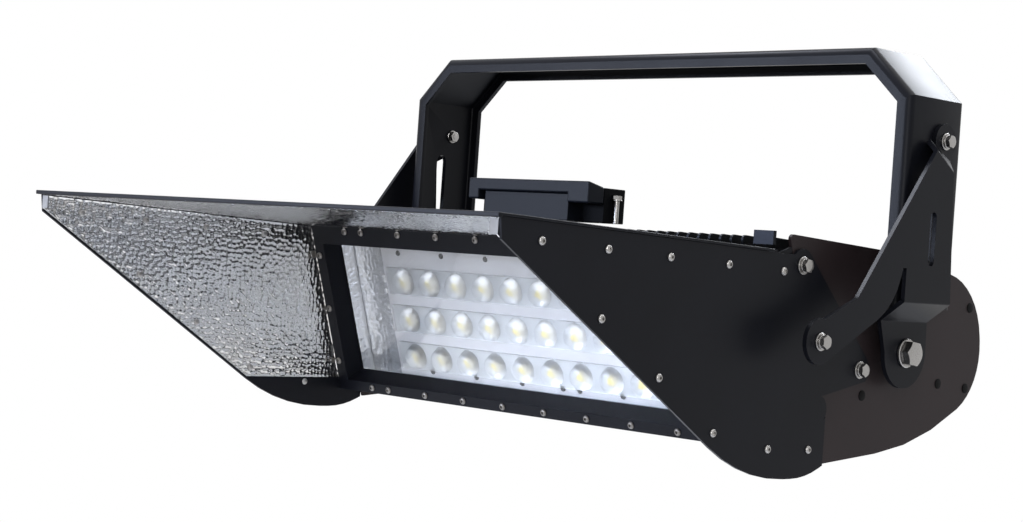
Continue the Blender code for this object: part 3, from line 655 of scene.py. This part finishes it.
print("roof lining faces:", len(top_lining().data.polygons))

# %% [markdown]
# The light tray is folded from the same sheet. Only its walls and the ends of its floor show beside
# the LED board, so the floor's grid is fine at the ends and coarse under the board.


# %% The light tray
TRAY_DEEP, TRAY_GRID, TRAY_WALL = 0.0007, 0.0011, 0.002
BOARD_OVERLAP, COARSE_STEPS = 0.004, 30


def tray():
    """The tray's floor and four walls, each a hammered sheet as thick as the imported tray's."""
    low, high = lens_reach("light_tray")
    wall, half = TRAY_WALL, high[0]
    floor, rim, top, foot = low[2] + wall, high[2], low[1], high[1]
    margin = (half - BOARD_HIGH[0] + BOARD_OVERLAP) / (2 * half)
    ends = np.linspace(0, margin, int(margin * 2 * half / TRAY_GRID))
    s = np.concatenate([ends, np.linspace(margin, 1 - margin, COARSE_STEPS)[1:-1], 1 - ends[::-1]])
    corners = [(-half, top, floor), (half, top, floor), (half, foot, floor), (-half, foot, floor)]
    sheet = grid(*[lens_place(*corner) for corner in corners], TRAY_GRID, s)
    parts = [hammered(sheet, OUT, wall, seed=21, deepest=TRAY_DEEP)]
    for side in (-1, 1):
        x, down = side * (half - wall), (foot if side > 0 else top) - side * wall
        corners = [(x, top, floor), (x, foot, floor), (x, foot, rim), (x, top, rim)]
        sheet = grid(*[lens_place(*corner) for corner in corners], TRAY_GRID)
        parts.append(hammered(sheet, (-side, 0, 0), wall, seed=23, deepest=TRAY_DEEP))
        corners = [(wall - half, down, floor), (half - wall, down, floor), (half - wall, down, rim),
                   (wall - half, down, rim)]
        sheet = grid(*[lens_place(*corner) for corner in corners], TRAY_GRID)
        parts.append(hammered(sheet, -side * DOWN, wall, seed=25, deepest=TRAY_DEEP))
    return reflector_piece("hammered_tray", parts, "light_tray", TRAY_SHEET)


print("tray faces:", len(tray().data.polygons))

# %% [markdown]
# ## Screws, bolts and nuts
#
# A hexagon head is a prism cut by a cone: its wall stands at r(a) = flat / cos(a) round each flat,
# and the cone takes the corners down by tan 30 of how far they reach past the flats' circle. Cutting
# a prism with a cone would give the same shape, but as one turned profile it needs no cutting.

# %% Hexagons, washers and thread ends
AROUND = 24
FIRST_TURN, NEXT_TURN = 0.4, 1.7
ANGLES = np.linspace(0, 2 * np.pi, AROUND, endpoint=False)
HEXAGON = 1 / np.cos((ANGLES + np.pi / 6) % (np.pi / 3) - np.pi / 6)
SQUARE = 1 / np.cos((ANGLES + np.pi / 4) % (np.pi / 2) - np.pi / 4)


def hex_head(flats, height, start=0.0):
    """A chamfered hexagon head or nut across these flats, standing on height start, with its washer face."""
    half = flats / 2
    corner = start + height - (half * HEXAGON - half * 0.97) * math.tan(math.radians(30))
    low = start + 0.0004
    return welded(*revolve([(0, start), (half * 0.92, start), (half * 0.92, low), (half * HEXAGON, low),
                            (half * HEXAGON, corner), (half * 0.94, start + height),
                            (half * 0.5, start + height), (0, start + height)], AROUND))


def washer(inner, outer, height, start=0.0):
    """A flat ring, its outer edge a little rounded. The profile comes back to its first ring."""
    ease = height * 0.2
    return welded(*revolve([(inner, start), (outer - ease, start), (outer, start + ease),
                            (outer, start + height - ease), (outer - ease, start + height),
                            (inner, start + height), (inner, start)], AROUND))


def stud_end(radius, start, height):
    """The chamfered end of a bolt's thread, standing out of its nut."""
    return welded(*revolve([(0, start), (radius, start), (radius, start + height * 0.7),
                            (radius * 0.8, start + height), (0, start + height)], AROUND))


M6_FLATS = 0.0102
M6_HEX = joined([washer(0.0032, 0.0075, 0.0015), washer(0.0031, 0.0058, 0.0016, 0.0015),
                 hex_head(M6_FLATS, 0.0041, 0.0031)])
print("M6 head faces:", len(M6_HEX[1]))

# %% [markdown]
# A button head is a shallow dome with a hexagon socket. All screws of a kind are one piece, so that
# the lamp has few pieces however many screws it has.


# %% Button heads, and a piece full of screws
def button_screw(radius, height, socket):
    """A domed head with a hexagon socket: the dome's height falls as the square of the distance out."""
    rings = [(0, 0), (radius, 0), (radius, height * 0.25), (radius * 0.93, height * 0.55),
             (radius * 0.75, height * 0.85), (radius * 0.58, height), (socket * HEXAGON, height),
             (socket * HEXAGON, height * 0.35), (0, height * 0.3)]
    return welded(*revolve(rings, AROUND))


def fasteners(name, shape, places, direction, look, body):
    """One piece that holds a copy of the shape at each place, each a little turned, as a hand leaves them."""
    turns = [facing(direction, roll=FIRST_TURN + NEXT_TURN * k) for k in range(len(places))]
    made = mesh_object(name, *stamped(*shape, places, turns), 30)
    made.data.materials.append(look)
    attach(made, body)
    return made


M4_BUTTON = button_screw(0.0035, 0.0021, 0.00125)
print("M4 button faces:", len(M4_BUTTON[1]))

# %% [markdown]
# The lens frame is held by nine evenly spaced screws along its top and bottom, a partner near each
# corner, and three down each side.

# %% Screws of the lens frame
ROW_IN, ROW_PITCH, PARTNER = 0.0058, 0.05495, 0.245
COLUMN_IN, COLUMN_FIRST, COLUMN_PITCH = 0.0062, 0.0328, 0.0565
row_x = np.concatenate([np.arange(-4, 5) * ROW_PITCH, [-PARTNER, PARTNER]])
column_down = COLUMN_FIRST + np.arange(3) * COLUMN_PITCH
frame_depth = FRAME_HIGH[1] - FRAME_LOW[1]
rows = [lens_place(row_x, down) for down in (ROW_IN, frame_depth - ROW_IN)]
columns = [lens_place(x, column_down) for x in (FRAME_LOW[0] + COLUMN_IN, FRAME_HIGH[0] - COLUMN_IN)]
places = np.concatenate(rows + columns)
fasteners("lens_frame_screws", M4_BUTTON, places, OUT, STEEL_DULL, "lamp")
print("lens frame screws:", len(places))

# %% [markdown]
# The visor's plates carry three rows of screws that clamp the linings from outside: one under the
# roof, one down the slanting edge and one along the foot. The same screw shows its domed end on
# the bright side. The M6 bolts behind them, each on a flat and a spring washer, hold the visor to
# the housing.

# %% Screws and bolts of the visor
def row(start, step, count):
    """Places (y, z) in a straight row: start + k * step."""
    return np.array(start) + np.arange(count)[:, None] * np.array(step)


def across(x, places):
    """The points (x, y, z) of the places (y, z)."""
    return np.insert(places, 0, x, axis=1)


ROOF_ROW = row((-0.4662, -0.1934), (0.0713, -0.0022), 5)
SLANT_ROW = row((-0.3973, -0.2475), (0.0697, -0.0433), 3)
FOOT_ROW = np.array([(-0.1864, -0.3479), (-0.1315, -0.3492)])
VISOR_BOLTS = np.array([(-0.1557, -0.1963), (-0.0660, -0.2817)])
SCREW_END = welded(*revolve([(0, 0), (0.0031, 0), (0.0031, 0.0006), (0.0024, 0.0013), (0.0012, 0.0016),
                             (0, 0.0017)], AROUND))
for side, hand in ((-1, "left"), (1, "right")):
    low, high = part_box("visor_side_" + hand)
    outer, inner = (high.x, low.x) if side > 0 else (low.x, high.x)
    lined, out, into = np.concatenate([ROOF_ROW, SLANT_ROW]), (side, 0, 0), (-side, 0, 0)
    screws = across(outer, np.concatenate([lined, FOOT_ROW]))
    for name, shape, places, way in (
        ("visor_screws_", M4_BUTTON, screws, out), ("visor_bolts_", M6_HEX, across(outer, VISOR_BOLTS), out),
        ("visor_screw_ends_", SCREW_END, across(LINING_FACE[hand], lined), into),
        ("visor_foot_end_", SCREW_END, across(inner, FOOT_ROW[:1]), into),
    ):
        fasteners(name + hand, shape, places, way, STEEL, "lamp")
print("visor screws a side:", len(screws))

# %% [markdown]
# Each arm is clamped to the yoke by an M6 bolt in its ear, with the nut inside the channel, and a
# second bolt in its front ear locks the lamp's tilt. The pivot is one thick bolt on a wide washer.

# %% Bolts of the arms and the pivot
pivot = Vector(frame["joints"][0]["pos_m"])
EAR_R, LOCK_EAR_R, LOCK_DROP = 0.0155, 0.0190, 0.1940
EAR_BAND, LOCK_BAND, TAB_BAND = 0.020, 0.010, 0.006
YOKE_WALL, TAB_DROP, TAB_PLAY = 0.005, 0.028, 0.0003
ARM_NUT = joined([washer(0.0032, 0.0070, 0.0014), hex_head(M6_FLATS, 0.0040, 0.0014),
                  stud_end(0.0029, 0.0054, 0.0006)])
PIVOT_BOLT = joined([washer(0.0071, 0.0127, 0.0025), hex_head(0.0198, 0.0085, 0.0025),
                     stud_end(0.007, -0.030, 0.030)])


def outermost(points):
    """The x farthest from the middle, and the x nearest to it."""
    reach = np.abs(points[:, 0])
    return points[reach.argmax(), 0], points[reach.argmin(), 0]


for side, hand in ((-1, "left"), (1, "right")):
    arm_low, arm_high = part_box("arm_plate_" + hand)
    yoke_low, yoke_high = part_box("yoke")
    ear_y, ear_z = arm_high.y - EAR_R, arm_high.z - EAR_R
    lock_y, lock_z = arm_low.y + LOCK_EAR_R, arm_high.z - LOCK_DROP
    points = corners_of("arm_plate_" + hand)
    ear_x, _ = outermost(points[(points[:, 2] > ear_z) & (points[:, 1] > ear_y - EAR_BAND)])
    lock_x, lock_back = outermost(points[points[:, 1] < arm_low.y + LOCK_BAND])
    heads = np.array([(ear_x, ear_y, ear_z), (lock_x, lock_y, lock_z)])
    fasteners("arm_bolts_" + hand, M6_HEX, heads, (side, 0, 0), STEEL, "yoke_frame")
    web = (yoke_high.x if side > 0 else yoke_low.x) - side * YOKE_WALL
    nuts = np.array([(web, ear_y, ear_z), (lock_back, lock_y, lock_z)])
    fasteners("arm_nuts_" + hand, ARM_NUT, nuts, (-side, 0, 0), STEEL, "yoke_frame")
    tab_x, _ = outermost(points[np.abs(points[:, 2] - (pivot.z - TAB_DROP)) < TAB_BAND])
    tab_x += side * TAB_PLAY
    made = fasteners("pivot_bolt_dressed_" + hand, PIVOT_BOLT, [(tab_x, pivot.y, pivot.z)], (side, 0, 0),
                     STEEL, "lamp")
    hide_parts("pivot_bolt_" + hand)
    print(hand, "ear", round(ear_x, 4), "lock", round(lock_x, 4), round(lock_back, 4), "tab", round(tab_x, 4))

# %% [markdown]
# ## Plugs and the supply box's long screws
#
# The holes that the housing's ends don't use are closed by black rubber plugs. The supply box is
# held down by a long screw in each bracket, whose shank stands free on the bracket's outer side.

# %% Plugs of the housing's ends, screws of the supply box
PLUG_PLACES = np.array([(-0.056, -0.304), (0.060, -0.293), (0.105, -0.297), (0.104, -0.223)])
PLUG = welded(*revolve([(0, 0), (0.0045, 0), (0.0045, 0.0006), (0.0038, 0.0009), (0, 0.001)], AROUND))
for side, hand in ((-1, "left"), (1, "right")):
    low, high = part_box("end_plate_" + hand)
    places = across(high.x if side > 0 else low.x, PLUG_PLACES)
    fasteners("end_plugs_" + hand, PLUG, places, (side, 0, 0), RUBBER, "lamp")

SHANK_R, SHANK_LONG, SHANK_BESIDE, SHANK_Y = 0.0025, 0.0205, 0.0028, -0.148
LONG_SCREW = joined([welded(*revolve([(0, 0), (SHANK_R, 0), (SHANK_R, SHANK_LONG), (0, SHANK_LONG)], AROUND)),
                     washer(0.0026, 0.0050, 0.001, SHANK_LONG + 0.0002),
                     hex_head(0.008, 0.0037, SHANK_LONG + 0.0012)])
box_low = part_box("supply_box")[0]
screw_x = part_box("box_bracket_right")[1].x + SHANK_BESIDE
places = [(-screw_x, SHANK_Y, box_low.z), (screw_x, SHANK_Y, box_low.z)]
fasteners("supply_box_screws", LONG_SCREW, places, (0, 0, 1), STEEL, "lamp")
print("plugs a side:", len(PLUG_PLACES), "| supply box screws", round(screw_x, 4), "m either side")

# %% [markdown]
# ## The light board
#
# Three strips of clear optics stand over rows of LEDs. Each LED is a flat square of yellow phosphor.
# Over it stands a moulded lens: a collar, a wall that leans in, and a round crown, which throw the
# light forwards in a narrow beam. A subdivided cage could model it too, but a grid that runs from a
# cell's border to circles puts points only where the shape turns. The strip lies on the board with
# a tenth of a millimetre of air under it. Pressed flat against the board it would lose the bend of
# light that makes it show.

# %% The moulding of a strip
LED_PITCH, LED_COLUMNS = 0.0385, 12
ON_BORDER = 1e-9
columns_x = (np.arange(LED_COLUMNS) - (LED_COLUMNS - 1) / 2) * LED_PITCH


def cell_border(a, b, m=12, n=16):
    """Points round a rectangle of half sizes a and b, from its lower right corner: m up each end and n
    along each side."""
    up, along = np.linspace(-b, b, m, endpoint=False), np.linspace(a, -a, n, endpoint=False)
    return np.concatenate([np.stack([np.full(m, a), up], 1), np.stack([along, np.full(n, b)], 1),
                           np.stack([np.full(m, -a), -up], 1), np.stack([-along, np.full(n, -b)], 1)])


def lens_strip_shape(rings, half_length, half_width, base):
    """One moulding. Each LED has a cell whose border is a rectangle. Inside it run circles of radius r
    at height h, along the same rays, up to the crown. Border points drop straight to the foot, where
    one face closes each cell."""
    border = cell_border(LED_PITCH / 2, half_width)
    rays = border / np.linalg.norm(border, axis=1)[:, None]
    count, shapes = len(border), []
    for k, x in enumerate(columns_x):
        edge = border.copy()
        if k in (0, LED_COLUMNS - 1):
            outer = np.abs(edge[:, 0] + np.sign(-x) * LED_PITCH / 2) < ON_BORDER
            edge[outer, 0] = np.sign(x) * half_length - x
        layers = [np.column_stack([edge, np.zeros(count)]), np.column_stack([edge, np.full(count, base)])]
        layers += [np.column_stack([rays * r, np.full(count, base + h)]) for r, h in rings]
        points = np.concatenate(layers) + (x, 0, 0)
        i, j = np.meshgrid(np.arange(1, len(layers) - 1), np.arange(count), indexing="ij")
        a, b = i * count + j, i * count + (j + 1) % count
        faces = np.stack([a, b, b + count, a + count], -1).reshape(-1, 4).tolist()
        faces.append(np.arange(count)[::-1].tolist())
        wall = np.arange(count)
        middle = (points[wall, 1] + points[(wall + 1) % count, 1]) / 2
        ends = np.abs((points[wall, 0] + points[(wall + 1) % count, 0]) / 2)
        wall = wall[(np.abs(middle) > half_width - ON_BORDER) | (ends > half_length - ON_BORDER)]
        after = (wall + 1) % count
        faces += np.stack([wall, after, after + count, wall + count], -1).tolist()
        shapes.append((points, faces))
    return welded(*joined(shapes))


print("LEDs from x", columns_x[0], "to", columns_x[-1], "m")

# %% Strips and LEDs on the board
STRIP_BASE, AIR_UNDER = 0.002, 0.0001
OPTIC = [(0.0134, 0.0), (0.0130, 0.0012), (0.0122, 0.0020), (0.0117, 0.0042), (0.0108, 0.0062),
         (0.0094, 0.0078), (0.0074, 0.0089), (0.0050, 0.0095), (0.0025, 0.0098), (0.0, 0.0099)]
row_down, all_chips = [], []
board_face = BOARD_HIGH[2]
CHIP = welded(*revolve([(0, 0), (0.0041 * SQUARE, 0), (0.0041 * SQUARE, 0.0001), (0.0038 * SQUARE, 0.0002),
                        (0, 0.00024)], AROUND))
for number in (1, 2, 3):
    low, high = lens_reach("lens_row_%d" % number)
    down, half_width = (low[1] + high[1]) / 2, (high[1] - low[1]) / 2
    row_down.append(down)
    shape = lens_strip_shape(OPTIC, high[0], half_width, STRIP_BASE)
    turn = np.stack([(1.0, 0.0, 0.0), -DOWN, OUT], 1)
    made = mesh_object("lens_row_%d_moulding" % number,
                       *stamped(*shape, [lens_place(0.0, down, low[2] + AIR_UNDER)], [turn]), 50)
    made.data.materials.append(ACRYLIC)
    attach(made, "lamp")
    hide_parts("lens_row_%d" % number)
    all_chips.append(lens_place(columns_x, down, board_face))
fasteners("led_chips", CHIP, np.concatenate(all_chips), OUT, PHOSPHOR, "lamp")
print("LEDs:", LED_COLUMNS * len(row_down), "rows at", np.round(row_down, 4))

# %% [markdown]
# The board is held by two rows of dark screws, one along its lower edge and one under its upper
# edge. They are small button heads, like those outside.


# %% Screws of the board
def both_sides(right_half):
    """The places to the right of the middle with their mirror images before them, from left to right."""
    return np.concatenate([-np.array(right_half)[::-1], right_half])


M3_BUTTON = button_screw(0.0029, 0.0017, 0.001)
BOARD_ROW_IN, BOARD_ROW_UNDER = 0.006, 0.0213
low_row, high_row = both_sides([0.011, 0.066, 0.130, 0.194]), both_sides([0.026, 0.090, 0.153, 0.217])
board_screws = np.concatenate([lens_place(low_row, BOARD_HIGH[1] - BOARD_ROW_IN, board_face),
                               lens_place(high_row, BOARD_LOW[1] + BOARD_ROW_UNDER, board_face)])
fasteners("board_screws", M3_BUTTON, board_screws, OUT, STEEL_DARK, "lamp")
print("board screws:", len(board_screws))

# %% [markdown]
# ## Light and background
#
# The surroundings are white, as in a product booth: the camera, mirrors and glass see them at full
# white, and matt surfaces get about half of that from them. A stronger world would whiten the
# background too, but it would wash out the lamp. A Light Path node tells the two apart.

# %% The white booth
world = bpy.data.worlds.new("white_booth")
bpy.context.scene.world = world
world.use_nodes = True
sky = world.node_tree
sky.nodes.clear()


def seen_by(tree):
    """1 where the ray comes from the camera, a mirror or glass, and 0 where it comes from a matt surface,
    also one behind the glass, whose rays have a diffuse depth of 1 or more."""
    path = add(tree, "LightPath")
    either = add(tree, "Math", {"operation": "MAXIMUM"},
                 {0: path.outputs["Is Camera Ray"], 1: path.outputs["Is Glossy Ray"]})
    clear = add(tree, "Math", {"operation": "MAXIMUM"},
                {0: either.outputs[0], 1: path.outputs["Is Transmission Ray"]})
    direct = add(tree, "Math", {"operation": "LESS_THAN", 1: 0.5}, {0: path.outputs["Diffuse Depth"]})
    both = add(tree, "Math", {"operation": "MULTIPLY"}, {0: clear.outputs[0], 1: direct.outputs[0]})
    return both.outputs[0]


soft = add(sky, "Background", {"Color": linear("#f4f6fb"), "Strength": 0.55})
white = add(sky, "Background", {"Color": linear("#ffffff"), "Strength": 1.0})
mixed = add(sky, "MixShader", {}, {0: seen_by(sky), 1: soft.outputs[0], 2: white.outputs[0]})
add(sky, "OutputWorld", {}, {"Surface": mixed.outputs[0]})
print("world:", world.name, "with", len(sky.nodes), "nodes")

# %% [markdown]
# The floor lies well below the lamp, because a lamp like this hangs. It keeps the lamp's shadow and
# fades to the white of the booth around it, so that no horizon shows. It is clear from beneath, so
# that the underside can be looked at.

# %% The floor
FLOOR_DROP, FLOOR_HALF = 0.9, 8.0
FADE_FROM, FADE_TO = 1.0, 2.5


def pale_floor(height, half):
    """A flat square floor of white paint. From FADE_FROM to FADE_TO out from under the lamp, the camera,
    mirrors and glass see it turn to the full white of the booth. From beneath it is clear."""
    made, tree, place, shader = new_material("white_floor_paint")
    shader.inputs["Base Color"].default_value = linear("#f4f4f4")
    shader.inputs["Roughness"].default_value = 0.8
    points = [(-half, -half, height), (half, -half, height), (half, half, height), (-half, half, height)]
    floor = mesh_object("floor", points, [(0, 1, 2, 3)])
    glow = add(tree, "Emission", {"Color": linear("#ffffff"), "Strength": 1.0})
    level = add(tree, "VectorMath", {"operation": "MULTIPLY", 1: (1, 1, 0)}, {0: place})
    far = add(tree, "VectorMath", {"operation": "LENGTH"}, {0: level.outputs[0]})
    fade = add(tree, "MapRange",
               {"From Min": FADE_FROM, "From Max": FADE_TO, "interpolation_type": "SMOOTHSTEP"},
               {"Value": far.outputs["Value"]})
    share = add(tree, "Math", {"operation": "MULTIPLY"}, {0: seen_by(tree), 1: fade.outputs[0]})
    above = add(tree, "MixShader", {}, {0: share.outputs[0], 1: shader.outputs[0], 2: glow.outputs[0]})
    beneath = add(tree, "NewGeometry").outputs["Backfacing"]
    clear = add(tree, "BsdfTransparent").outputs[0]
    mixed = add(tree, "MixShader", {}, {0: beneath, 1: above.outputs[0], 2: clear})
    output = next(n for n in tree.nodes if n.type == "OUTPUT_MATERIAL")
    tree.links.new(mixed.outputs[0], output.inputs["Surface"])
    floor.data.materials.append(made)
    floor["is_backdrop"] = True
    return floor


floor = pale_floor(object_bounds()[0][2] - FLOOR_DROP, FLOOR_HALF)
print("floor at", round(floor.data.vertices[0].co.z, 3))

# %% [markdown]
# A broad cool panel at the left front gives the folded edges their blue-grey shine and lights the
# board behind the glass. Softer ones overhead and behind light the crossbar and its chamfers, and
# one high on the left draws the arms' front edges. Two small lamps on the right put a point of
# light on each screw.

# %% Panels and lamps
CENTRE = (0.0, -0.15, -0.2)
PANELS = (
    ("left_front_panel", (-1.25, -2.75, 0.15), (2.4, 0.6), 108, "#dbe6ff"),
    ("overhead_panel", (0.3, 0.6, 2.6), (2.4, 2.0), 50, "#ffffff"),
    ("behind_panel", (-0.1, 2.5, 1.6), (2.0, 0.8), 85, "#f2f7ff"),
    ("high_left_panel", (-1.5, -0.6, 2.45), (0.9, 0.8), 88, "#eef2ff"),
    ("small_right_lamp", (2.1, -2.5, 0.3), (0.35, 0.35), 18, "#ffffff"),
    ("small_high_lamp", (1.6, -1.9, 1.7), (0.35, 0.35), 14, "#ffffff"),
)


def panel(name, place, target, size, power, colour):
    """A rectangular soft light at a place, facing a target."""
    light = bpy.data.lights.new(name, "AREA")
    light.shape = "RECTANGLE"
    light.size, light.size_y = size
    light.energy = power
    light.color = linear(colour)[:3]
    made = bpy.data.objects.new(name, light)
    bpy.context.scene.collection.objects.link(made)
    made.location = place
    made.rotation_euler = (Vector(target) - Vector(place)).to_track_quat("-Z", "Y").to_euler()
    return made


for name, place, size, power, colour in PANELS:
    panel(name, place, CENTRE, size, power, colour)
print("watts:", {name: power for name, _, _, power, _ in PANELS})

# %% [markdown]
# ## Colours as written
#
# The Standard view shows each colour as its hex code gives it, where a filmic view would grey the
# whites.

# %% The view transform
bpy.context.scene.view_settings.view_transform = "Standard"
